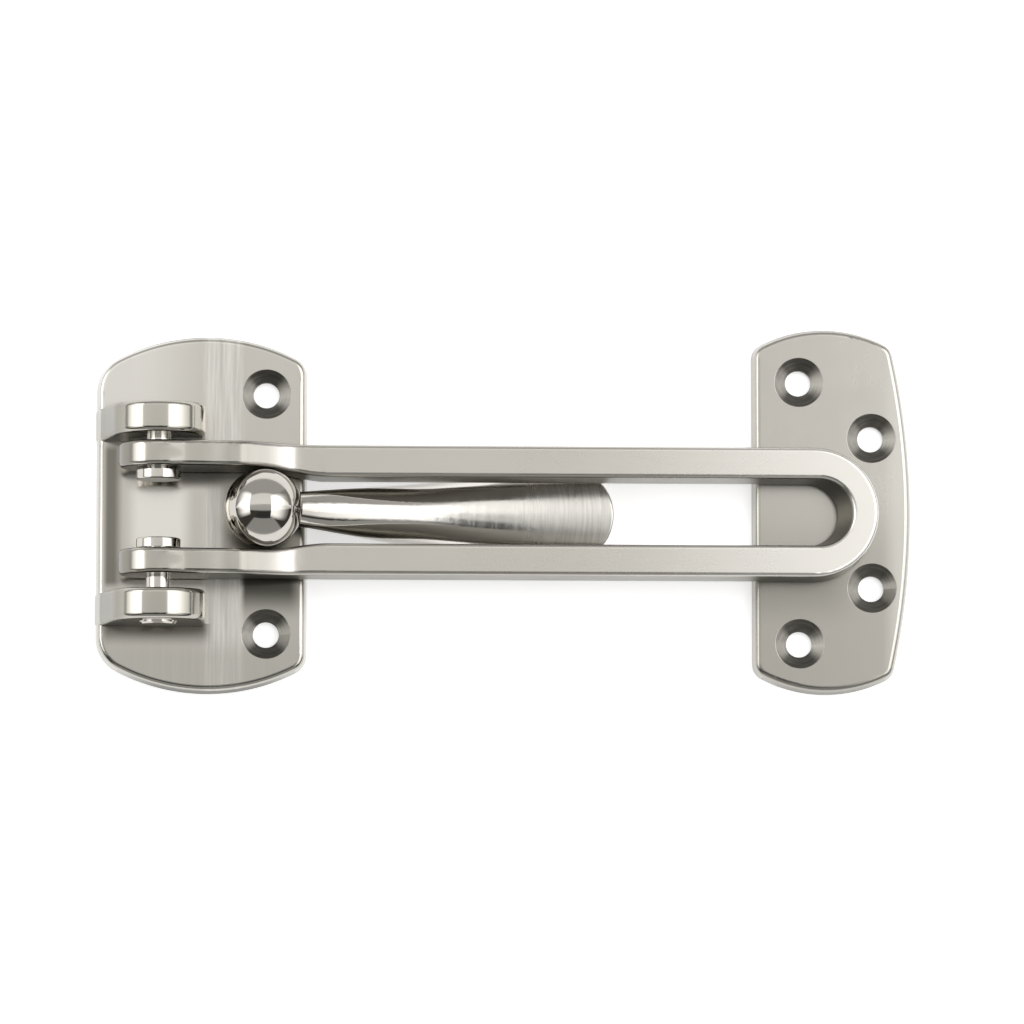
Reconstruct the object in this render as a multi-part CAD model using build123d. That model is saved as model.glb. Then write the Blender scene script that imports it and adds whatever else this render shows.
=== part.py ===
from build123d import *
import math
import os

# A swing-bar door guard: a frame plate with two lugs, a U-shaped swing bar on two headed pins,
# a ball and horn stud, and a door plate. Millimetres throughout.
# Origin: the foot of the pivot axis on the mounting plane. +X runs along the bar, +Z leaves the wall.

# Plates, both cast with drafted edges and drilled for No. 8 countersunk screws
plate_thickness = 3.0
plate_edge_draft = 0.5
plate_edge_round = 0.9
screw_hole_radius = 2.1
countersink_radius = 4.0
countersink_half_angle = 45.0
countersink_rim_round = 0.15

# Frame plate
frame_left = -10.2
frame_width = 34.3
frame_height = 58.4
frame_end_radius = 32.0
frame_apex_x = 7.9
frame_left_corner_round = 6.3
frame_right_corner_round = 3.2
frame_hole_x = 17.45
frame_hole_spacing = 39.2

# Door plate
door_left = 96.85
door_width = 26.1
door_height = 60.0
door_end_radius = 22.5
door_apex_from_left = 11.85
door_side_radius = 120.0
door_corner_round = 2.7
door_near_hole_from_left = 7.6
door_near_hole_spacing = 42.9
door_far_hole_from_right = 6.65
door_far_hole_spacing = 24.6
door_plate_y = 1.0
door_holes_y = -0.4

# Pivot axis, along Y
pivot_height = 9.8

# Lugs on the frame plate, drafted towards their noses; the pair sits a little below the plate's middle
lug_pair_y = -0.6
lug_nose_radius = 7.6
lug_gap_half = 12.6
lug_thickness = 4.9
lug_draft = 0.4
lug_nose_round = 0.8
lug_root_z = 0.4
lug_flank_proud = 0.12

# Swing bar: knuckles and necks of full depth, then an S bend down to two drafted arms joined by a U end
knuckle_radius = 6.4
neck_half_gap = 6.65
neck_width = 4.1
shoulder_fall = 0.62
shoulder_end = 5.4
neck_fall = 1.6
neck_end = 11.6
bend_start = 12.8
bend_end = 22.8
arm_start = 27.0
pinch_start = 16.5
arm_back = 4.0
arm_depth = 6.5
arm_half_width = 10.5
slot_half_width = 5.45
arm_outer_draft = 0.38
slot_draft = 0.42
bar_end = 116.7
slot_end = 112.7
seat_slope = 2.4
slot_overrun = 0.2
bar_edge_round = 0.7
arm_sections = 28

# Pivot pins: headed between the knuckles, riveted over outside the lugs
pin_radius = 2.0
pin_running_clearance = 0.06
pin_head_radius = 3.6
pin_head_thickness = 1.5
pin_head_gap = 0.4
pin_head_round = 0.25
rivet_radius = 3.1
rivet_thickness = 0.5
rivet_sink = 0.15
rivet_chamfer = 0.25

# Ball and horn stud, one casting with a flat foot on the door
ball_radius = 6.35
ball_x = 16.9
ball_height = 12.6
horn_root_x = 23.6
horn_root_half_width = 2.95
horn_root_centre = 10.2
horn_root_half_height = 3.1
horn_taper = 0.1245
horn_root_slope = 0.4
horn_land_x = 46.0
horn_foot_top = 3.8
horn_top_fall = 18.0
horn_tip_centre_x = 65.8
horn_tip_round = 0.35
horn_sections = 16
horn_section_points = 16
stud_hole_radius = 1.65
stud_hole_depth = 3.2
stud_near_hole_x = 44.0
stud_hole_pitch = 16.0

# Worked out from the sizes above
door_right = door_left + door_width
arm_front = arm_back + arm_depth
neck_half_width = neck_half_gap + neck_width
countersink_depth = (countersink_radius - screw_hole_radius) / math.tan(math.radians(countersink_half_angle))
lug_top = pivot_height + lug_nose_radius
knuckle_top = pivot_height + knuckle_radius
bend_fall = knuckle_top - shoulder_fall - neck_fall - arm_front
pin_bore_radius = pin_radius + pin_running_clearance
pin_head_outer = neck_half_gap - pin_head_gap
pin_head_inner = pin_head_outer - pin_head_thickness
horn_inner_x = (ball_x + horn_root_x) / 2
horn_tip_half_width = horn_root_half_width + horn_taper * (horn_tip_centre_x - horn_root_x)
horn_end = horn_tip_centre_x + horn_tip_half_width

# How near two figures count as the same, in picking edges
same = 0.01


def point_mix(low, high, share):
    """A value between low and high."""
    return low + (high - low) * share


def smooth_share(x, start, end):
    """0 before start, 1 after end, with a smooth S between."""
    t = min(max((x - start) / (end - start), 0.0), 1.0)
    return t * t * (3 - 2 * t)


def plate_outline(left, right, height, end_radius, apex_x, corner_rounds, side_radius=None):
    """A plate with round ends, a straight left side and a straight or bulged right side."""
    reach = height / 2 - end_radius
    outline = Pos((left + right) / 2, 0) * Rectangle(right - left, height)
    for side in (1, -1):
        inside = Pos(apex_x, side * (reach - height / 2)) * Rectangle(2 * end_radius, height)
        outline = outline & (Pos(apex_x, side * reach) * Circle(end_radius) + inside)
    if side_radius:
        outline = outline & Pos(right - side_radius, 0) * Circle(side_radius)
    for side, corner_round in zip((-1, 1), corner_rounds):
        corners = [v for v in outline.vertices()
                   if abs(v.Y) > height / 4 and (v.X - apex_x) * side > 0]
        outline = fillet(corners, corner_round)
    return outline


def plate_body(outline):
    """The outline as a drafted plate with a rounded front edge."""
    front_outline = Pos(0, 0, plate_thickness) * offset(outline, -plate_edge_draft)
    body = loft([outline.face(), front_outline.face()], ruled=True)
    front = body.faces().sort_by(Axis.Z)[-1]
    return fillet(front.edges(), plate_edge_round)


def countersunk_hole(x, y):
    """The tool that cuts one countersunk screw hole."""
    hole = Cylinder(screw_hole_radius, 3 * plate_thickness)
    cone_top = countersink_radius + countersink_depth
    cone = Cone(screw_hole_radius, cone_top, cone_top - screw_hole_radius,
                align=(Align.CENTER, Align.CENTER, Align.MIN))
    return Pos(x, y, 0) * (hole + Pos(0, 0, plate_thickness - countersink_depth) * cone)


def drill(body, places):
    """Cuts the countersunk holes and softens their rims."""
    for x, y in places:
        body = body - countersunk_hole(x, y)
    rims = [e for e in body.edges().filter_by(GeomType.CIRCLE)
            if abs(e.center().Z - plate_thickness) < same and abs(e.radius - countersink_radius) < same]
    return fillet(rims, countersink_rim_round)


def lug_profile():
    """The lug seen along the pivot: a round nose, a slanted left flank and an upright right one."""
    root_x = frame_left - lug_flank_proud
    reach = math.hypot(root_x, pivot_height - lug_root_z)
    lean = math.atan2(pivot_height - lug_root_z, -root_x) + math.asin(lug_nose_radius / reach)
    run = math.sqrt(reach ** 2 - lug_nose_radius ** 2)
    root = (root_x, lug_root_z)
    tangent = (root_x + run * math.cos(lean), lug_root_z + run * math.sin(lean))
    right = (lug_nose_radius, pivot_height)
    root_right = (lug_nose_radius, lug_root_z)
    outline = [Line(root, tangent), ThreePointArc(tangent, (0, lug_top), right),
               Line(right, root_right), Line(root_right, root)]
    return Plane.XZ * make_face(outline)


def lug(side):
    """One lug, drafted on both faces, with softened nose edges."""
    block = extrude(lug_profile(), amount=lug_gap_half + 2 * lug_thickness, both=True)
    outer = lug_gap_half + lug_thickness
    slab = Plane.YZ * make_face(Polyline(
        (lug_gap_half - lug_draft, lug_root_z), (outer + lug_draft, lug_root_z),
        (outer, lug_top), (lug_gap_half, lug_top),
        close=True))
    body = block & extrude(slab, amount=2 * frame_width, both=True)
    nose = [e for e in body.edges() if e.center().Z > lug_root_z + same
            and abs(e.tangent_at(0).Y) < lug_draft]
    body = fillet(nose, lug_nose_round)
    if side < 0:
        body = mirror(body, about=Plane.XZ)
    return Pos(0, lug_pair_y, 0) * body


def frame_plate():
    """The frame plate with its two lugs, bored for the pins."""
    outline = plate_outline(frame_left, frame_left + frame_width, frame_height, frame_end_radius,
                            frame_apex_x, (frame_left_corner_round, frame_right_corner_round))
    body = plate_body(outline)
    for side in (1, -1):
        body = body + lug(side)
    body = drill(body, [(frame_hole_x, side * frame_hole_spacing / 2) for side in (1, -1)])
    bore = Rot(90, 0, 0) * Cylinder(pin_radius, 2 * frame_height)
    return body - Pos(0, 0, pivot_height) * bore


def door_plate():
    """The door plate, four holes, bulged on the far side."""
    outline = plate_outline(door_left, door_right, door_height, door_end_radius, door_left + door_apex_from_left,
                            (door_corner_round, door_corner_round), door_side_radius)
    pairs = ((door_left + door_near_hole_from_left, door_near_hole_spacing),
             (door_right - door_far_hole_from_right, door_far_hole_spacing))
    places = [(x, door_holes_y + side * spacing / 2) for x, spacing in pairs for side in (1, -1)]
    return Pos(0, door_plate_y, 0) * drill(plate_body(outline), places)


def bar_front(x):
    """How far the bar's front stands off at x: a little down along the neck, then an S bend."""
    falls = ((shoulder_fall, 0, shoulder_end), (neck_fall, 0, bend_end), (bend_fall, bend_start, bend_end))
    return knuckle_top - sum(fall * smooth_share(x, start, end) for fall, start, end in falls)


def knuckle():
    """The half of the upper knuckle that faces away from the arm."""
    reach = 2 * knuckle_radius
    half = Circle(knuckle_radius) & Pos(-knuckle_radius, 0) * Rectangle(reach, reach)
    profile = Plane.XZ * (Pos(0, pivot_height) * half)
    body = Pos(0, neck_half_width, 0) * extrude(profile, amount=neck_width)
    return fillet(body.edges().filter_by(GeomType.CIRCLE), bar_edge_round)


def arm_section(x):
    """The upper arm's rounded section in the plane across the bar at x."""
    back = point_mix(pivot_height - knuckle_radius, arm_back, smooth_share(x, neck_end, arm_start))
    front = bar_front(x)
    pinch = smooth_share(x, pinch_start, arm_start)
    corners = [
        (point_mix(neck_half_gap, slot_half_width - slot_draft, pinch), back),
        (point_mix(neck_half_width, arm_half_width + arm_outer_draft, pinch), back),
        (point_mix(neck_half_width, arm_half_width, pinch), front),
        (point_mix(neck_half_gap, slot_half_width, pinch), front),
    ]
    section = fillet(make_face(Polyline(*corners, close=True)).vertices(), bar_edge_round)
    return Plane(origin=(x, 0, 0), x_dir=(0, 1, 0), z_dir=(1, 0, 0)) * section


def upper_arm():
    """The upper arm from the pivot axis through its neck and S bend, up to where it runs straight."""
    step = arm_start / (arm_sections - 1)
    return loft([arm_section(i * step) for i in range(arm_sections)])


def round_ended(start, end, half_width, height):
    """A strip from start with a half-round end, at the given height."""
    turn = end - half_width
    outline = [Line((start, -half_width), (turn, -half_width)),
               ThreePointArc((turn, -half_width), (end, 0), (turn, half_width)),
               Line((turn, half_width), (start, half_width)),
               Line((start, half_width), (start, -half_width))]
    return Pos(0, 0, height) * make_face(outline)


def u_end():
    """Both straight arms and the U that joins them, with a sloped seat inside the U."""
    outer = loft([
        round_ended(arm_start, bar_end + arm_outer_draft, arm_half_width + arm_outer_draft, arm_back),
        round_ended(arm_start, bar_end, arm_half_width, arm_front)], ruled=True)
    levels = []
    for share in (-slot_overrun, 1 + slot_overrun):
        width = point_mix(slot_half_width - slot_draft, slot_half_width, share)
        end = point_mix(slot_end - seat_slope, slot_end, share)
        levels.append(round_ended(0, end, width, point_mix(arm_back, arm_front, share)))
    body = outer - loft(levels, ruled=True)
    rims = [e for e in body.edges() if e.center().X > arm_start + same
            and min(abs(e.center().Z - arm_back), abs(e.center().Z - arm_front)) < same]
    return fillet(rims, bar_edge_round)


def swing_bar():
    """The whole bar, bored through both knuckles."""
    arm = knuckle() + upper_arm()
    body = arm + mirror(arm, about=Plane.XZ) + u_end()
    bore = Rot(90, 0, 0) * Cylinder(pin_bore_radius, 4 * neck_half_width)
    return body - Pos(0, 0, pivot_height) * bore


def pivot_pin(side):
    """One pin: a head inside its knuckle, a shank through knuckle and lug, a riveted end outside."""
    lug_face = lug_gap_half + lug_thickness + lug_draft * (lug_top - pivot_height) / (lug_top - lug_root_z)
    rivet_end = lug_face - rivet_sink + rivet_thickness + side * lug_pair_y
    low = (Align.CENTER, Align.CENTER, Align.MIN)
    head = Cylinder(pin_head_radius, pin_head_thickness, align=low)
    head = fillet(head.edges().group_by(Axis.Z)[0], pin_head_round)
    rivet = Cylinder(rivet_radius, rivet_thickness, align=low)
    rivet = chamfer(rivet.edges().group_by(Axis.Z)[-1], rivet_chamfer)
    shank = Cylinder(pin_radius, rivet_end - pin_head_inner, align=low)
    pin = head + shank + Pos(0, 0, rivet_end - rivet_thickness - pin_head_inner) * rivet
    turn = Rot(-90, 0, 0) if side > 0 else Rot(90, 0, 0)
    return Pos(0, side * pin_head_inner, pivot_height) * turn * pin


def horn_section(x):
    """The horn's oval section in the plane across it at x. Its top falls away evenly down its length."""
    half_width = horn_root_half_width + horn_taper * (x - horn_root_x)
    rise = horn_root_centre + horn_root_half_height - horn_foot_top
    top = horn_foot_top + rise * math.exp((horn_root_x - x) / horn_top_fall)
    share = min((x - horn_root_x) / (horn_land_x - horn_root_x), 1.0)
    ease = 2 - horn_root_slope * (horn_land_x - horn_root_x) / horn_root_centre
    centre = horn_root_centre * (1 - share) ** 2 * (1 + ease * share)
    turns = [2 * math.pi * i / horn_section_points for i in range(horn_section_points)]
    oval = Spline(*[(half_width * math.cos(turn), (top - centre) * math.sin(turn)) for turn in turns],
                  periodic=True)
    return Plane(origin=(x, 0, centre), x_dir=(0, 1, 0), z_dir=(1, 0, 0)) * make_face(oval)


def ball_stud():
    """The ball, the horn that carries it, cut round at its tip and flat at the door, and tapped."""
    step = (horn_end + horn_tip_half_width / 2 - horn_inner_x) / (horn_sections - 1)
    horn = loft([horn_section(horn_inner_x + i * step) for i in range(horn_sections)])
    plan = round_ended(horn_inner_x - step, horn_end, horn_tip_half_width, 0)
    horn = horn & extrude(plan, amount=2 * ball_height)
    tip = [e for e in horn.edges() if e.center().X > horn_tip_centre_x and e.center().Z > same]
    horn = fillet(tip, horn_tip_round)
    body = Pos(ball_x, 0, ball_height) * Sphere(ball_radius) + horn
    for i in range(2):
        hole = Cylinder(stud_hole_radius, 2 * stud_hole_depth)
        body = body - Pos(stud_near_hole_x + i * stud_hole_pitch, 0, 0) * hole
    return body


def main():
    """Builds every piece and writes it under its own name."""
    pieces = {
        "frame_plate": frame_plate(),
        "swing_bar": swing_bar(),
        "upper_pivot_pin": pivot_pin(1),
        "lower_pivot_pin": pivot_pin(-1),
        "ball_stud": ball_stud(),
        "door_plate": door_plate(),
    }
    os.makedirs("parts", exist_ok=True)
    for name, piece in pieces.items():
        export_step(piece, f"parts/{name}.step")


main()
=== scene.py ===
"""A swing-bar door guard in satin nickel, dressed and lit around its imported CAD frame."""

import logging
import math
from dataclasses import dataclass
from enum import Enum
from typing import Optional

import bmesh
import bpy
from mathutils import Matrix, Vector


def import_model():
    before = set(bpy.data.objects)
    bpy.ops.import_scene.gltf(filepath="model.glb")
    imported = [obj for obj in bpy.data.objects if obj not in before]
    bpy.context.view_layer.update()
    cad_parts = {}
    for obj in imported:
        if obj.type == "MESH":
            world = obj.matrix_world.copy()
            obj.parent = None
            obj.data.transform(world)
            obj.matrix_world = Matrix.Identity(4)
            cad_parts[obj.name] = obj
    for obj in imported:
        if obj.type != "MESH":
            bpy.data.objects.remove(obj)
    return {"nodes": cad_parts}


log = logging.getLogger("door_guard")

MM = 0.001
# Past the guard in every direction, in mm: an open end of a stretch
FAR = 200.0
# A noise value's usual range, which the ramps read
NOISE_LOW, NOISE_HIGH = 0.3, 0.7

Colour = tuple[float, float, float]
Point = tuple[float, float, float]
Stretch = tuple[float, float, float, float]
Seat = tuple[float, float, float]


class Brushing(Enum):
    """The way the polishing belt ran over a piece, as stretches of its grain along X, Y and Z."""

    ALONG_BAR = (0.03, 1.0, 1.0)
    UP_PLATE = (1.0, 0.04, 1.0)
    ROUND_HORN = (1.0, 0.035, 0.035)


# Node helpers


def shade_of(metal: Colour, share: float) -> Colour:
    """The same metal, lighter or darker."""
    return tuple(c * share for c in metal)


class Nodes:
    """A short way of placing and joining shader nodes in one tree."""

    def __init__(self, tree: bpy.types.NodeTree) -> None:
        """Keeps the tree.

        Args:
            tree: the node tree that is filled.
        """
        self.tree = tree

    def add(self, kind: str, **settings) -> bpy.types.Node:
        """Places one node.

        Args:
            kind: the node's type name.
            **settings: attributes set on the node.

        Returns:
            The new node.
        """
        node = self.tree.nodes.new(kind)
        for name, value in settings.items():
            setattr(node, name, value)
        return node

    def join(self, source, target) -> None:
        """Joins an output socket to an input socket."""
        self.tree.links.new(source, target)

    def put(self, value, target) -> None:
        """Joins a socket, or sets a plain value, on an input socket."""
        if isinstance(value, bpy.types.NodeSocket):
            self.join(value, target)
        else:
            target.default_value = value

    def maths(self, operation: str, first, second=None, third=None):
        """Places a Math node.

        Args:
            operation: the Math node's operation.
            first: a socket or number.
            second: a socket or number, where the operation has one.
            third: a socket or number, where the operation has one.

        Returns:
            The node's output socket.
        """
        node = self.add("ShaderNodeMath", operation=operation)
        for value, target in zip((first, second, third), node.inputs):
            if value is not None:
                self.put(value, target)
        return node.outputs[0]

    def vector_maths(self, operation: str, first, second=None):
        """Places a Vector Math node.

        Args:
            operation: the node's operation.
            first: a socket or triple.
            second: a socket or triple, where the operation has one.

        Returns:
            The node's vector output socket.
        """
        node = self.add("ShaderNodeVectorMath", operation=operation)
        for value, target in zip((first, second), node.inputs):
            if value is not None:
                self.put(value, target)
        return node.outputs[0]

    def ramp_between(self, value, low, high, at_low=0.0, at_high=1.0):
        """Maps a value smoothly from one range to another.

        Args:
            value: the socket that is read.
            low: where the result is at_low.
            high: where the result is at_high.
            at_low: the result at low.
            at_high: the result at high.

        Returns:
            The result's socket.
        """
        node = self.add("ShaderNodeMapRange", interpolation_type="SMOOTHSTEP")
        for number, target in zip((value, low, high, at_low, at_high), node.inputs):
            self.put(number, target)
        return node.outputs[0]

    def mix_colour(self, share, first, second):
        """Mixes two colours.

        Args:
            share: how much of the second colour shows.
            first: a socket or colour.
            second: a socket or colour.

        Returns:
            The mixed colour's socket.
        """
        node = self.add("ShaderNodeMix", data_type="RGBA")
        self.put(share, node.inputs[0])
        for value, target in ((first, node.inputs[6]), (second, node.inputs[7])):
            self.put((*value, 1.0) if isinstance(value, tuple) else value, target)
        return node.outputs[2]

    def blend(self, share, first, second):
        """Mixes two values.

        Args:
            share: how much of the second value shows.
            first: a socket or number.
            second: a socket or number.

        Returns:
            The mixed value's socket.
        """
        kept = self.maths("MULTIPLY", first, self.maths("SUBTRACT", 1.0, share))
        return self.maths("ADD", kept, self.maths("MULTIPLY", share, second))

    def spread(self, value):
        """Makes a vector with the same value in all three places."""
        node = self.add("ShaderNodeCombineXYZ")
        for target in node.inputs:
            self.join(value, target)
        return node.outputs[0]

    def noise(self, vector, scale, detail: float = 3.0, roughness: float = 0.55):
        """Places a Noise texture.

        Args:
            vector: the coordinates' socket.
            scale: a socket or number, in cycles a metre.
            detail: the octaves of finer noise.
            roughness: how strong the finer octaves are.

        Returns:
            The noise value's socket.
        """
        node = self.add("ShaderNodeTexNoise", noise_dimensions="3D")
        self.join(vector, node.inputs["Vector"])
        self.put(scale, node.inputs["Scale"])
        node.inputs["Detail"].default_value = detail
        node.inputs["Roughness"].default_value = roughness
        return node.outputs["Fac"]


class NodeGroup:
    """One shared effect as a shader node group with named inputs and outputs."""

    def __init__(self, name: str, inputs: dict[str, tuple[str, object]], outputs: dict[str, str]) -> None:
        """Makes the group's sockets.

        Args:
            name: the group's name.
            inputs: each input's socket type and default.
            outputs: each output's socket type.
        """
        self.tree = bpy.data.node_groups.new(name, "ShaderNodeTree")
        for label, (kind, default) in inputs.items():
            made = self.tree.interface.new_socket(name=label, in_out="INPUT", socket_type=kind)
            if default is not None:
                made.default_value = default
        for label, kind in outputs.items():
            self.tree.interface.new_socket(name=label, in_out="OUTPUT", socket_type=kind)
        self.nodes = Nodes(self.tree)
        self.given = self.nodes.add("NodeGroupInput").outputs
        self.result = self.nodes.add("NodeGroupOutput").inputs

    def place(self, nodes: Nodes, **values) -> bpy.types.NodeOutputs:
        """Places the group in a material.

        Args:
            nodes: the material's nodes.
            **values: a socket or number for each input, with _ for each space in its name.

        Returns:
            The placed group's outputs.
        """
        node = nodes.add("ShaderNodeGroup", node_tree=self.tree)
        for label, value in values.items():
            nodes.put(value, node.inputs[label.replace("_", " ")])
        return node.outputs


FLOAT, VECTOR = "NodeSocketFloat", "NodeSocketVector"


class Effects:
    """The node groups that more than one of the finishes uses."""

    def __init__(self) -> None:
        """Builds every group once."""
        self.grain = self._belt_grain()
        self.cloudy = self._hand_polish()
        self.turned = self._turned_seat()
        self.flank = self._unpolished_and_shaded_flank()

    def _belt_grain(self) -> NodeGroup:
        """Fine scratches of a polishing belt.

        Returns:
            The group, with a Scratches value and a Normal.
        """
        group = NodeGroup(
            "belt grain",
            {
                "Place": (VECTOR, None),
                "Stretch": (VECTOR, (1.0, 1.0, 1.0)),
                "Fineness": (FLOAT, 5000.0),
                "Depth": (FLOAT, 0.02),
            },
            {"Scratches": FLOAT, "Normal": VECTOR},
        )
        n = group.nodes
        stretched = n.vector_maths("MULTIPLY", group.given["Place"], group.given["Stretch"])
        fine = n.noise(stretched, group.given["Fineness"], 4.0, 0.6)
        coarse = n.noise(stretched, n.maths("MULTIPLY", group.given["Fineness"], 0.23), 2.0)
        both = n.maths("MULTIPLY_ADD", coarse, 0.5, n.maths("MULTIPLY", fine, 0.5))
        bump = n.add("ShaderNodeBump")
        bump.inputs["Distance"].default_value = MM
        n.join(group.given["Depth"], bump.inputs["Strength"])
        n.join(both, bump.inputs["Height"])
        n.join(both, group.result["Scratches"])
        n.join(bump.outputs["Normal"], group.result["Normal"])
        return group

    def _hand_polish(self) -> NodeGroup:
        """The slow unevenness that hand polishing leaves in a casting.

        Returns:
            The group, with a Cloud value round 0.5.
        """
        group = NodeGroup(
            "hand polish",
            {"Place": (VECTOR, None), "Patches": (FLOAT, 70.0)},
            {"Cloud": FLOAT},
        )
        n = group.nodes
        wide = n.noise(group.given["Place"], group.given["Patches"], 3.0)
        tight = n.noise(group.given["Place"], n.maths("MULTIPLY", group.given["Patches"], 6.0), 2.0)
        n.join(n.maths("MULTIPLY_ADD", wide, 0.75, n.maths("MULTIPLY", tight, 0.25)), group.result["Cloud"])
        return group

    def _turned_seat(self) -> NodeGroup:
        """Turned rings in the countersinks of a pair of holes either side of the middle.

        Returns:
            The group, with Inside and Sideways masks, a Ring value and an Outward direction, zero outside the seats.
        """
        group = NodeGroup(
            "turned seat",
            {
                "Place": (VECTOR, None),
                "Across": (FLOAT, 0.0),
                "Apart": (FLOAT, 0.02),
                "Middle": (FLOAT, 0.0),
                "Radius": (FLOAT, 0.004),
            },
            {"Inside": FLOAT, "Ring": FLOAT, "Sideways": FLOAT, "Outward": VECTOR},
        )
        n = group.nodes
        parts = n.add("ShaderNodeSeparateXYZ")
        n.join(group.given["Place"], parts.inputs[0])
        x = n.maths("SUBTRACT", parts.outputs["X"], group.given["Across"])
        off_middle = n.maths("SUBTRACT", parts.outputs["Y"], group.given["Middle"])
        y = n.maths("SUBTRACT", n.maths("ABSOLUTE", off_middle), group.given["Apart"])
        out = n.maths("SQRT", n.maths("ADD", n.maths("MULTIPLY", x, x), n.maths("MULTIPLY", y, y)))
        inside = n.ramp_between(n.maths("DIVIDE", out, group.given["Radius"]), 1.0, 1.02, 1.0, 0.0)
        turn = n.maths("ARCTAN2", y, x)
        track = n.add("ShaderNodeCombineXYZ")
        n.join(n.maths("MULTIPLY", out, 9000.0), track.inputs["X"])
        n.join(n.maths("MULTIPLY", turn, 0.6), track.inputs["Y"])
        ring = n.noise(track.outputs[0], 1.0, 2.0)
        outward = n.add("ShaderNodeCombineXYZ")
        n.join(n.maths("MULTIPLY", x, inside), outward.inputs["X"])
        outward_y = n.maths("MULTIPLY", y, n.maths("SIGN", off_middle))
        n.join(n.maths("MULTIPLY", outward_y, inside), outward.inputs["Y"])
        level = n.maths("DIVIDE", n.maths("ABSOLUTE", x), out)
        n.join(inside, group.result["Inside"])
        n.join(ring, group.result["Ring"])
        n.join(n.ramp_between(level, 0.62, 0.92), group.result["Sideways"])
        n.join(outward.outputs[0], group.result["Outward"])
        return group

    def _unpolished_and_shaded_flank(self) -> NodeGroup:
        """Where a face looks sideways, which the belt reaches least and which the finishes darken as painted shade.

        Returns:
            The group, with a Flank mask.
        """
        group = NodeGroup("unpolished and shaded flank", {"Facing": (VECTOR, None)}, {"Flank": FLOAT})
        n = group.nodes
        parts = n.add("ShaderNodeSeparateXYZ")
        n.join(group.given["Facing"], parts.inputs[0])
        sideways = n.maths("ABSOLUTE", parts.outputs["Y"])
        n.join(n.ramp_between(sideways, 0.85, 0.97), group.result["Flank"])
        return group


@dataclass(frozen=True)
class Zone:
    """A patch of a surface with a finish of its own, or with painted shade or painted light in its colour.

    Each stretch names, in mm, where the patch starts to show, shows fully, starts to fade and has gone. FAR leaves
    an end open. facing_up names the upward share of the surface's direction where it starts and shows fully.
    """

    metal: Colour
    gloss: float
    streaks: float
    x: Optional[Stretch] = None
    y: Optional[Stretch] = None
    z: Optional[Stretch] = None
    facing_up: Optional[tuple[float, float]] = None
    strength: float = 1.0

    def mask(self, n: Nodes, place: bpy.types.Node):
        """Where the zone shows.

        Args:
            n: the material's nodes.
            place: the Texture Coordinate node.

        Returns:
            The mask's socket.
        """
        at = n.add("ShaderNodeSeparateXYZ")
        n.join(place.outputs["Object"], at.inputs[0])
        share = self.strength
        for stretch, axis in ((self.x, "X"), (self.y, "Y"), (self.z, "Z")):
            if stretch and stretch[1] > -FAR:
                rise = n.ramp_between(at.outputs[axis], stretch[0] * MM, stretch[1] * MM)
                share = n.maths("MULTIPLY", share, rise)
            if stretch and stretch[2] < FAR:
                fall = n.ramp_between(at.outputs[axis], stretch[2] * MM, stretch[3] * MM, 1.0, 0.0)
                share = n.maths("MULTIPLY", share, fall)
        if self.facing_up:
            facing = n.add("ShaderNodeSeparateXYZ")
            n.join(place.outputs["Normal"], facing.inputs[0])
            share = n.maths("MULTIPLY", share, n.ramp_between(facing.outputs["Z"], *self.facing_up))
        return share


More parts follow.
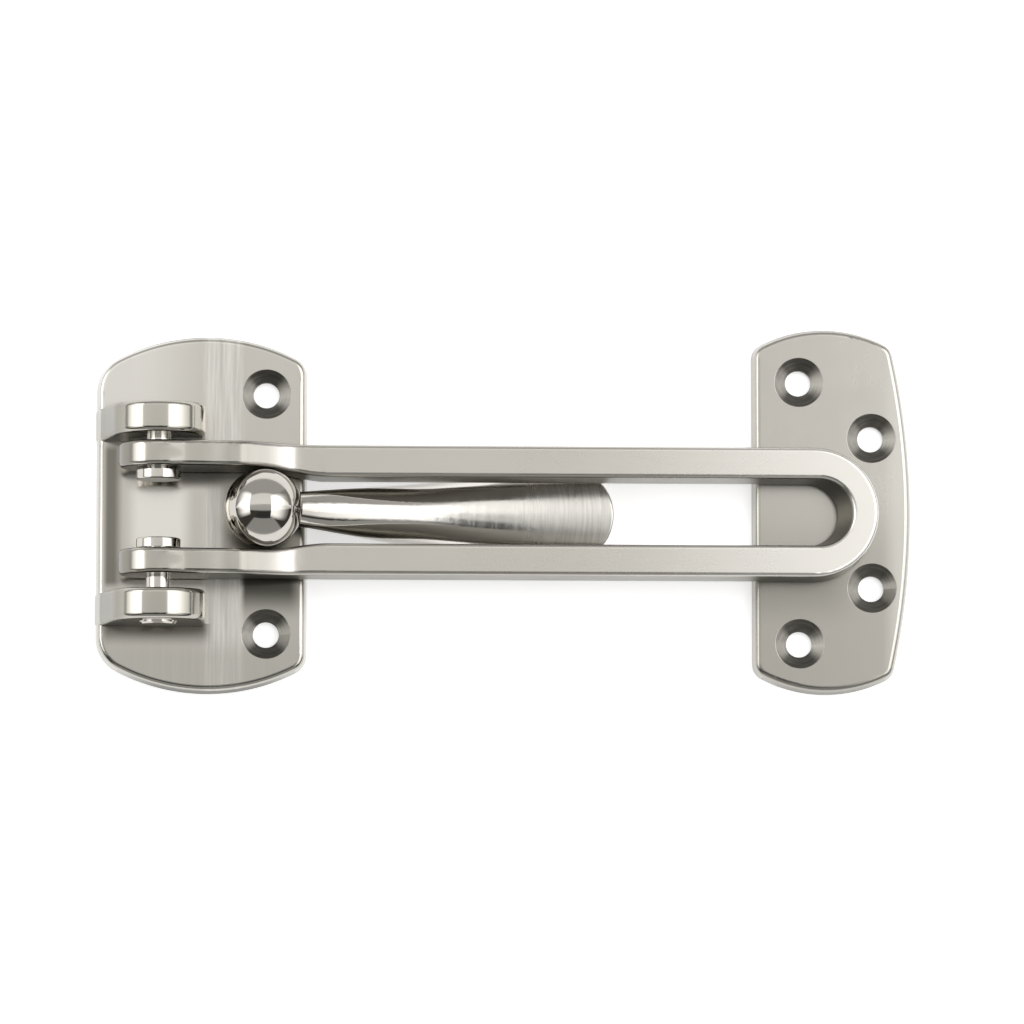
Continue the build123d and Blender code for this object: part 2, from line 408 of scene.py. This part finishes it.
@dataclass(frozen=True)
class NickelFinish:
    """One nickel surface: its metal, gloss and brushing."""

    name: str
    metal: Colour
    flank_metal: Colour
    gloss: float
    flank_gloss: float
    brushing: Brushing
    fineness: float
    depth: float
    zones: tuple[Zone, ...] = ()

    def material(self, effects: Effects, seats: tuple[Seat, ...] = ()) -> bpy.types.Material:
        """Builds the finish.

        Args:
            effects: the shared node groups.
            seats: for each pair of countersinks, its X, its half spacing and its middle, in metres.

        Returns:
            The material.
        """
        made = bpy.data.materials.new(self.name)
        made.use_nodes = True
        made.node_tree.nodes.clear()
        n = Nodes(made.node_tree)
        place = n.add("ShaderNodeTexCoord")
        shader = n.add("ShaderNodeBsdfPrincipled")
        out = n.add("ShaderNodeOutputMaterial")
        n.join(shader.outputs[0], out.inputs[0])
        shader.inputs["Metallic"].default_value = 1.0

        grain = effects.grain.place(
            n,
            Place=place.outputs["Object"],
            Stretch=self.brushing.value,
            Fineness=self.fineness,
            Depth=self.depth,
        )
        cloud = effects.cloudy.place(n, Place=place.outputs["Object"])["Cloud"]
        flank = effects.flank.place(n, Facing=place.outputs["Normal"])["Flank"]

        gloss = n.ramp_between(cloud, NOISE_LOW, NOISE_HIGH, self.gloss * 0.88, self.gloss * 1.12)
        gloss = n.maths("MULTIPLY_ADD", n.maths("SUBTRACT", grain["Scratches"], 0.5), 0.08, gloss)
        gloss = n.maths("MULTIPLY_ADD", flank, self.flank_gloss - self.gloss, gloss)
        streaks = n.ramp_between(grain["Scratches"], NOISE_LOW, NOISE_HIGH)
        colour = n.mix_colour(streaks, shade_of(self.metal, 0.995), shade_of(self.metal, 1.005))
        # Sideways faces take the darker flank metal: rougher cast skin, darkened further as painted shade
        colour = n.mix_colour(flank, colour, self.flank_metal)
        for zone in self.zones:
            share = zone.mask(n, place)
            darker, lighter = shade_of(zone.metal, 1 - zone.streaks), shade_of(zone.metal, 1 + zone.streaks)
            tone = n.mix_colour(streaks, darker, lighter)
            colour = n.mix_colour(share, colour, tone)
            gloss = n.blend(share, gloss, zone.gloss)
        outward, inside = None, None
        for across, apart, middle in seats:
            seat = effects.turned.place(
                n, Place=place.outputs["Object"], Across=across, Apart=apart, Middle=middle, Radius=4.0 * MM
            )
            ringed = n.ramp_between(seat["Ring"], NOISE_LOW, NOISE_HIGH, 0.3, 0.5)
            gloss = n.blend(seat["Inside"], gloss, ringed)
            rings = n.ramp_between(seat["Ring"], NOISE_LOW, NOISE_HIGH)
            # Turned rings, with painted shade in the seat's quarters along Y and a painted highlight in those along
            # X
            shaded_quarter = n.mix_colour(rings, *SEAT_SHADED_QUARTER)
            lit_quarter = n.mix_colour(rings, *SEAT_LIT_QUARTER)
            tone = n.mix_colour(seat["Sideways"], shaded_quarter, lit_quarter)
            colour = n.mix_colour(seat["Inside"], colour, tone)
            outward = seat["Outward"] if outward is None else n.vector_maths("ADD", outward, seat["Outward"])
            inside = seat["Inside"] if inside is None else n.maths("MAXIMUM", inside, seat["Inside"])
        if outward is not None:
            n.join(n.maths("MULTIPLY", inside, 0.9), shader.inputs["Anisotropic"])
            n.join(n.vector_maths("NORMALIZE", outward), shader.inputs["Tangent"])
        n.join(gloss, shader.inputs["Roughness"])
        n.join(colour, shader.inputs["Base Color"])
        n.join(grain["Normal"], shader.inputs["Normal"])
        return made


@dataclass(frozen=True)
class StudFinish:
    """The stud: a mirror-polished ball and a horn brushed round its length."""

    name: str
    metal: Colour
    horn_metal: Colour
    ball_gloss: float
    horn_gloss: float
    horn_start: float
    horn_brushed: float
    fineness: float
    depth: float
    arc_middle: float = 48.0 * MM
    arc_dulling: float = 0.13
    arc_depth: float = 0.007
    arcs_from: float = 54.0 * MM
    arcs_full: float = 64.0 * MM

    def material(self, effects: Effects) -> bpy.types.Material:
        """Builds the finish.

        Args:
            effects: the shared node groups.

        Returns:
            The material.
        """
        made = bpy.data.materials.new(self.name)
        made.use_nodes = True
        made.node_tree.nodes.clear()
        n = Nodes(made.node_tree)
        place = n.add("ShaderNodeTexCoord")
        shader = n.add("ShaderNodeBsdfPrincipled")
        out = n.add("ShaderNodeOutputMaterial")
        n.join(shader.outputs[0], out.inputs[0])
        shader.inputs["Metallic"].default_value = 1.0
        along = n.add("ShaderNodeSeparateXYZ")
        n.join(place.outputs["Object"], along.inputs[0])
        brushed = n.ramp_between(along.outputs["X"], self.horn_start, self.horn_brushed)
        grain = effects.grain.place(
            n,
            Place=place.outputs["Object"],
            Stretch=Brushing.ROUND_HORN.value,
            Fineness=self.fineness,
            Depth=n.maths("MULTIPLY", brushed, self.depth),
        )
        gloss = n.maths("MULTIPLY_ADD", brushed, self.horn_gloss - self.ball_gloss, self.ball_gloss)
        scratches = n.maths("SUBTRACT", grain["Scratches"], 0.5)
        streaks = n.maths("MULTIPLY", scratches, n.maths("MULTIPLY", brushed, 0.3))
        along_x = n.maths("SUBTRACT", along.outputs["X"], self.arc_middle)
        along_y = n.maths("MULTIPLY", along.outputs["Y"], along.outputs["Y"])
        reach = n.maths("SQRT", n.maths("ADD", n.maths("MULTIPLY", along_x, along_x), along_y))
        track = n.add("ShaderNodeCombineXYZ")
        n.join(n.maths("MULTIPLY", reach, self.fineness), track.inputs["X"])
        n.join(n.maths("MULTIPLY", along.outputs["Y"], 120.0), track.inputs["Y"])
        arcs = n.noise(track.outputs[0], 1.0, 3.0, 0.6)
        arced = n.ramp_between(along.outputs["X"], self.arcs_from, self.arcs_full)
        shade = n.ramp_between(arcs, NOISE_LOW, NOISE_HIGH, 0.78, 0.98)
        # In the brushed arcs the horn's sides are lightened as painted light
        beside = n.ramp_between(n.maths("ABSOLUTE", along.outputs["Y"]), 3.0 * MM, 6.5 * MM, 0.0, 0.5)
        shade = n.maths("ADD", shade, beside)
        shade = n.maths("MULTIPLY_ADD", n.maths("SUBTRACT", shade, 1.0), arced, 1.0)
        metal = n.mix_colour(brushed, self.metal, self.horn_metal)
        scaled = n.vector_maths("MULTIPLY", metal, n.spread(shade))
        n.join(scaled, shader.inputs["Base Color"])
        gloss = n.maths("MULTIPLY_ADD", arced, self.arc_dulling, gloss)
        n.join(n.maths("ADD", gloss, streaks), shader.inputs["Roughness"])
        bump = n.add("ShaderNodeBump")
        bump.inputs["Distance"].default_value = MM
        n.join(n.maths("MULTIPLY", arced, self.arc_depth), bump.inputs["Strength"])
        n.join(arcs, bump.inputs["Height"])
        n.join(grain["Normal"], bump.inputs["Normal"])
        n.join(bump.outputs["Normal"], shader.inputs["Normal"])
        return made


# Metals
NICKEL = (0.51, 0.492, 0.45)
# Wall metal: rougher cast skin, darkened further as painted shade
CAST_AND_SHADED_NICKEL = (0.27, 0.257, 0.23)
# Wall metal darkened as painted shade
SHADED_NICKEL = (0.12, 0.112, 0.096)
# A countersink's turned rings, in its quarters of painted shade and of painted highlight
SEAT_SHADED_QUARTER = ((0.11, 0.103, 0.09), (0.19, 0.18, 0.16))
SEAT_LIT_QUARTER = ((0.34, 0.327, 0.297), (0.48, 0.463, 0.428))
# Scratches a metre of the belt's grain
GRAIN = 2600.0
# Stretches of height in mm: the plates' front faces, and the bar below its arms' front
FRONT = (2.0, 2.4, 3.2, 3.6)
BELOW_ARM_FRONT = (-FAR, -FAR, 9.7, 10.3)

FRAME_FINISH = NickelFinish(
    name="satin nickel frame plate",
    metal=NICKEL,
    flank_metal=SHADED_NICKEL,
    gloss=0.15,
    flank_gloss=0.3,
    brushing=Brushing.UP_PLATE,
    fineness=GRAIN,
    depth=0.001,
    zones=(
        # Lugs, and their slanted flanks in painted shade
        Zone((0.43, 0.413, 0.37), 0.12, 0.0, z=(3.4, 4.2, FAR, FAR)),
        Zone((0.3, 0.287, 0.255), 0.3, 0.03, x=(-FAR, -FAR, -6.8, -4.5), z=(3.0, 4.0, FAR, FAR)),
        # Plate above the lugs, and between them
        Zone((0.66, 0.64, 0.6), 0.2, 0.01, x=(-FAR, -FAR, -4, 9), y=(15, 19, FAR, FAR), z=FRONT),
        Zone((0.74, 0.72, 0.67), 0.2, 0.01, x=(-6, -3, 3, 6), y=(-9, -4, 3, 5), z=FRONT),
        # Strip brushed up the plate, the polished edge beside it, and the end below
        Zone((0.62, 0.602, 0.56), 0.3, 0.18, x=(6.6, 8.4, 12.8, 14.6), z=FRONT),
        Zone((0.49, 0.472, 0.43), 0.12, 0.01, x=(12.8, 14.6, FAR, FAR), z=FRONT),
        Zone((0.44, 0.425, 0.385), 0.2, 0.03, y=(-FAR, -FAR, -24, -19), z=FRONT, strength=0.6),
        # Painted shade and painted reflections on the plate: the lower arm's dark reflection by the lower hole,
        # shade under the neck and round the ball, the lower lug's shadow below it; and a darker strip at the edge
        Zone((0.07, 0.066, 0.056), 0.15, 0.0, x=(13.0, 14.2, 21, 25), y=(-18, -12, -10, -9), z=FRONT),
        Zone((0.18, 0.17, 0.15), 0.2, 0.0, x=(0, 4.5, 13, 16), y=(3.6, 5.4, 7, 9), z=FRONT),
        Zone((0.25, 0.24, 0.21), 0.2, 0.0, x=(8, 12, FAR, FAR), y=(-9, -6.5, 6.5, 9), z=FRONT),
        Zone((0.17, 0.16, 0.14), 0.2, 0.0, x=(-10, -8, 7, 9), y=(-22, -18.8, -18, -17.9), z=FRONT),
        Zone((0.2, 0.19, 0.165), 0.2, 0.02, x=(-9.2, -8.2, -7.4, -5.6), y=(-12.5, -11, 10, 12), z=FRONT),
    ),
)
DOOR_FINISH = NickelFinish(
    name="satin nickel door plate",
    metal=(0.46, 0.444, 0.407),
    flank_metal=CAST_AND_SHADED_NICKEL,
    gloss=0.26,
    flank_gloss=0.36,
    brushing=Brushing.UP_PLATE,
    fineness=GRAIN,
    depth=0.0,
    zones=(
        # Lower half darker, partly painted shade; painted shade and reflection of the arm in its corner; a painted
        # highlight along the bulged side
        Zone((0.37, 0.355, 0.32), 0.26, 0.005, y=(-FAR, -FAR, -9, 6), z=FRONT),
        Zone((0.29, 0.28, 0.25), 0.26, 0.005, x=(-FAR, -FAR, 108, 116), y=(-19, -12, -10, -9), z=FRONT),
        Zone((0.54, 0.525, 0.485), 0.26, 0.005, x=(117.5, 121, FAR, FAR), z=FRONT, strength=0.8),
    ),
)
BAR_FINISH = NickelFinish(
    name="satin nickel bar",
    metal=(0.52, 0.5, 0.455),
    flank_metal=CAST_AND_SHADED_NICKEL,
    gloss=0.29,
    flank_gloss=0.34,
    brushing=Brushing.ALONG_BAR,
    fineness=GRAIN,
    depth=0.003,
    zones=(
        # Arms, brighter towards the U end as painted light
        Zone((0.71, 0.69, 0.65), 0.27, 0.01, x=(62, 114, FAR, FAR), z=(9.7, 10.4, FAR, FAR)),
        # Knuckles; necks darkened as painted shade, and a painted highlight across the bend
        Zone((0.43, 0.413, 0.372), 0.18, 0.0, x=(-FAR, -FAR, 6, 11)),
        Zone((0.4, 0.385, 0.347), 0.24, 0.0, x=(9, 11.5, 13.5, 15), facing_up=(0.5, 0.8)),
        Zone((0.68, 0.66, 0.615), 0.32, 0.005, x=(13.5, 16.2, 19.5, 24), facing_up=(0.5, 0.8)),
        # Painted shade on the walls of knuckles and necks; the slot by the U end and the back darker and rougher,
        # partly cast skin and partly painted shade
        Zone(SHADED_NICKEL, 0.3, 0.0, x=(-FAR, -FAR, 14, 24), z=(-FAR, -FAR, 14.2, 14.8), strength=0.6),
        Zone((0.25, 0.24, 0.21), 0.45, 0.0, x=(104, 107, 113.2, 113.6), y=(-6, -5.6, 5.6, 6), z=BELOW_ARM_FRONT),
        Zone((0.22, 0.21, 0.185), 0.4, 0.0, facing_up=(-0.3, -0.6)),
    ),
)
PIN_FINISH = NickelFinish(
    name="polished pin",
    metal=(0.53, 0.51, 0.47),
    flank_metal=(0.4, 0.385, 0.355),
    gloss=0.08,
    flank_gloss=0.14,
    brushing=Brushing.ROUND_HORN,
    fineness=GRAIN,
    depth=0.002,
)
STUD_FINISH = StudFinish(
    name="polished stud",
    metal=(0.52, 0.5, 0.46),
    horn_metal=(0.68, 0.66, 0.62),
    ball_gloss=0.05,
    horn_gloss=0.17,
    horn_start=23.5 * MM,
    horn_brushed=52.0 * MM,
    fineness=GRAIN,
    depth=0.006,
)


# The guard's pieces


@dataclass
class GuardDresser:
    """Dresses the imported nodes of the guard."""

    frame_seats: tuple[tuple[float, float, float], ...] = ((17.45 * MM, 19.6 * MM, 0.0),)
    door_seats: tuple[tuple[float, float, float], ...] = (
        (104.45 * MM, 21.45 * MM, 0.6 * MM),
        (116.3 * MM, 12.3 * MM, 0.6 * MM),
    )

    def dress(self, nodes: dict[str, bpy.types.Object], effects: Effects) -> None:
        """Gives every CAD node its finish.

        Args:
            nodes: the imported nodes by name.
            effects: the shared node groups.
        """
        bar = BAR_FINISH.material(effects)
        pin = PIN_FINISH.material(effects)
        finishes = {
            "frame_plate": FRAME_FINISH.material(effects, self.frame_seats),
            "door_plate": DOOR_FINISH.material(effects, self.door_seats),
            "swing_bar": bar,
            "upper_pivot_pin": pin,
            "lower_pivot_pin": pin,
            "ball_stud": STUD_FINISH.material(effects),
        }
        for name, material in finishes.items():
            slots = nodes[name].data.materials
            slots.clear()
            slots.append(material)
            log.info("dressed %s in %s", name, material.name)


# The photographer's table


@dataclass(frozen=True)
class SoftBox:
    """One studio light: a rectangle between an inner and an outer edge, both along Y.

    inner and outer are X and Z in metres, south and north are Y in metres, and power is in watts. It is full from
    the share full_from of its width, and falls to outer_share at its outer edge. Its ends fade from ends_from, as a
    share of its length from the middle, to end_share.
    """

    name: str
    inner: tuple[float, float]
    outer: tuple[float, float]
    south: float
    north: float
    power: float
    full_from: float
    outer_share: float
    ends_from: float = 0.32
    end_share: float = 0.25

    def build(self) -> bpy.types.Object:
        """Makes the lamp.

        Returns:
            The lamp's object.
        """
        lamp = bpy.data.lights.new(self.name, "AREA")
        lamp.shape = "RECTANGLE"
        x, z = (self.inner[0] + self.outer[0]) / 2, (self.inner[1] + self.outer[1]) / 2
        middle = Vector((x, (self.south + self.north) / 2, z))
        along = Vector((self.inner[0] - self.outer[0], 0.0, self.inner[1] - self.outer[1]))
        lamp.size = self.north - self.south
        lamp.size_y = along.length
        lamp.energy = self.power
        lamp.use_nodes = True
        n = Nodes(lamp.node_tree)
        glow = lamp.node_tree.nodes["Emission"]
        parts = n.add("ShaderNodeSeparateXYZ")
        n.join(n.add("ShaderNodeNewGeometry").outputs["Parametric"], parts.inputs[0])
        inward = n.ramp_between(parts.outputs["Y"], 0.0, self.full_from, self.outer_share, 1.0)
        ends = n.maths("ABSOLUTE", n.maths("SUBTRACT", parts.outputs["X"], 0.5))
        fade = n.ramp_between(ends, self.ends_from, 0.5, 1.0, self.end_share)
        n.join(n.maths("MULTIPLY", inward, fade), glow.inputs["Strength"])
        made = bpy.data.objects.new(self.name, lamp)
        bpy.context.scene.collection.objects.link(made)
        across = Vector((0.0, 1.0, 0.0))
        away = across.cross(along.normalized())
        if away.dot(middle) < 0:
            across = -across
            away = -away
        turn = Matrix((across, along.normalized(), away)).transposed().to_4x4()
        made.matrix_world = Matrix.Translation(middle) @ turn
        made.visible_camera = False
        return made


@dataclass
class Studio:
    """The floor, the light and the camera.

    tent gives the light tent's tone at each angle from straight up, in degrees, negative to the south.
    """

    floor_radius: float = 3.0
    camera_at: Point = (6.65 * MM, -101.3 * MM, 1021.0 * MM)
    camera_aim: Point = (57.6 * MM, 0.8 * MM, 0.0)
    lens: float = 221.0
    paper: Colour = (0.8, 0.8, 0.8)
    paper_glow: float = 0.55
    tent: tuple[tuple[float, float], ...] = (
        (-90.0, 0.7),
        (-84.0, 0.45),
        (-38.0, 0.43),
        (-35.0, 0.05),
        (-16.0, 0.05),
        (-11.0, 0.6),
        (0.0, 0.66),
        (4.0, 0.78),
        (5.5, 0.96),
        (7.0, 1.2),
        (14.0, 1.24),
        (36.0, 1.16),
        (41.0, 0.56),
        (84.0, 0.56),
        (90.0, 0.75),
    )
    gap_tone: Colour = (0.07, 0.066, 0.06)
    corner_tone: Colour = (0.2, 0.195, 0.18)
    corner_strength: float = 0.6
    boxes: tuple[SoftBox, ...] = (
        SoftBox("left soft box", (-0.38, 0.46), (-0.55, 0.02), -0.24, 0.45, 1.95, 0.7, 0.02),
        SoftBox("right soft box", (0.245, 0.58), (0.62, 0.13), -0.38, 0.38, 2.6, 0.75, 0.1),
    )

    def floor(self) -> bpy.types.Object:
        """Makes the pale floor.

        Returns:
            The floor's object.
        """
        shape = bmesh.new()
        bmesh.ops.create_circle(shape, cap_ends=True, segments=96, radius=self.floor_radius)
        mesh = bpy.data.meshes.new("floor")
        shape.to_mesh(mesh)
        shape.free()
        made = bpy.data.objects.new("floor", mesh)
        bpy.context.scene.collection.objects.link(made)
        mesh.materials.append(self._floor_paper())
        return made

    def _floor_paper(self) -> bpy.types.Material:
        """White paper that shows white and keeps the guard's shadow.

        Returns:
            The material.
        """
        paper = bpy.data.materials.new("white paper")
        paper.use_nodes = True
        paper.node_tree.nodes.clear()
        n = Nodes(paper.node_tree)
        path = n.add("ShaderNodeLightPath")
        mirrored = n.maths("MAXIMUM", path.outputs["Is Glossy Ray"], path.outputs["Is Transmission Ray"])
        seen = n.maths("MAXIMUM", path.outputs["Is Camera Ray"], mirrored)
        plain = n.add("ShaderNodeBsdfDiffuse")
        plain.inputs["Color"].default_value = (*self.paper, 1.0)
        glow = n.add("ShaderNodeEmission")
        n.join(n.maths("MULTIPLY", seen, self.paper_glow), glow.inputs["Strength"])
        both = n.add("ShaderNodeAddShader")
        n.join(plain.outputs[0], both.inputs[0])
        n.join(glow.outputs[0], both.inputs[1])
        out = n.add("ShaderNodeOutputMaterial")
        n.join(both.outputs[0], out.inputs[0])
        return paper

    def surroundings(self) -> None:
        """Makes the light tent round the table as the world."""
        world = bpy.data.worlds.new("light tent")
        bpy.context.scene.world = world
        world.use_nodes = True
        world.node_tree.nodes.clear()
        n = Nodes(world.node_tree)
        place = n.add("ShaderNodeTexCoord")
        parts = n.add("ShaderNodeSeparateXYZ")
        n.join(place.outputs["Generated"], parts.inputs[0])
        lean = n.maths("ARCTAN2", parts.outputs["Y"], parts.outputs["Z"])
        share = n.maths("MULTIPLY_ADD", lean, 1.0 / math.pi, 0.5)
        ramp = n.add("ShaderNodeValToRGB")
        n.join(share, ramp.inputs["Fac"])
        elements = ramp.color_ramp.elements
        while len(elements) > 1:
            elements.remove(elements[0])
        for index, (angle, tone) in enumerate(self.tent):
            at = angle / 180.0 + 0.5
            element = elements[0] if index == 0 else elements.new(at)
            element.position = at
            element.color = (tone, tone * 0.995, tone * 0.98, 1.0)
        width = n.maths("ABSOLUTE", parts.outputs["X"])
        depth = n.maths("MAXIMUM", n.maths("ABSOLUTE", parts.outputs["Y"]), 0.001)
        ratio = n.maths("DIVIDE", width, depth)
        south = n.ramp_between(lean, math.radians(-20.0), math.radians(-12.0), 1.0, 0.0)
        north = n.ramp_between(lean, math.radians(39.0), math.radians(43.0))
        gaps = n.maths("MULTIPLY", south, n.ramp_between(ratio, 0.78, 0.95))
        corners = n.maths("MULTIPLY", north, n.ramp_between(ratio, 0.95, 1.3))
        tent = n.mix_colour(gaps, ramp.outputs["Color"], self.gap_tone)
        tent = n.mix_colour(n.maths("MULTIPLY", corners, self.corner_strength), tent, self.corner_tone)
        sky = n.add("ShaderNodeBackground")
        n.join(tent, sky.inputs["Color"])
        out = n.add("ShaderNodeOutputWorld")
        n.join(sky.outputs[0], out.inputs[0])

    def camera(self) -> None:
        """Places the camera where the photograph was taken."""
        made = bpy.data.cameras.new("camera")
        made.lens = self.lens
        made.sensor_width = 36.0
        made.clip_start, made.clip_end = 0.01, 20.0
        eye = bpy.data.objects.new("camera", made)
        bpy.context.scene.collection.objects.link(eye)
        at, aim = Vector(self.camera_at), Vector(self.camera_aim)
        back = (at - aim).normalized()
        right = Vector((0.0, 1.0, 0.0)).cross(back).normalized()
        turn = Matrix((right, back.cross(right), back)).transposed().to_4x4()
        eye.matrix_world = Matrix.Translation(at) @ turn
        bpy.context.scene.camera = eye

    def build(self) -> None:
        """Makes the whole studio."""
        self.floor()
        self.surroundings()
        for box in self.boxes:
            box.build()
        self.camera()


def main() -> None:
    """Loads the frame, dresses it and lights it."""
    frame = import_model()
    bpy.context.view_layer.update()
    effects = Effects()
    GuardDresser().dress(frame["nodes"], effects)
    Studio().build()
    scene = bpy.context.scene
    scene.view_settings.view_transform = "Standard"
    bpy.context.view_layer.update()


if __name__ == "__main__":
    logging.basicConfig(level=logging.INFO, format="%(name)s: %(message)s")
    main()
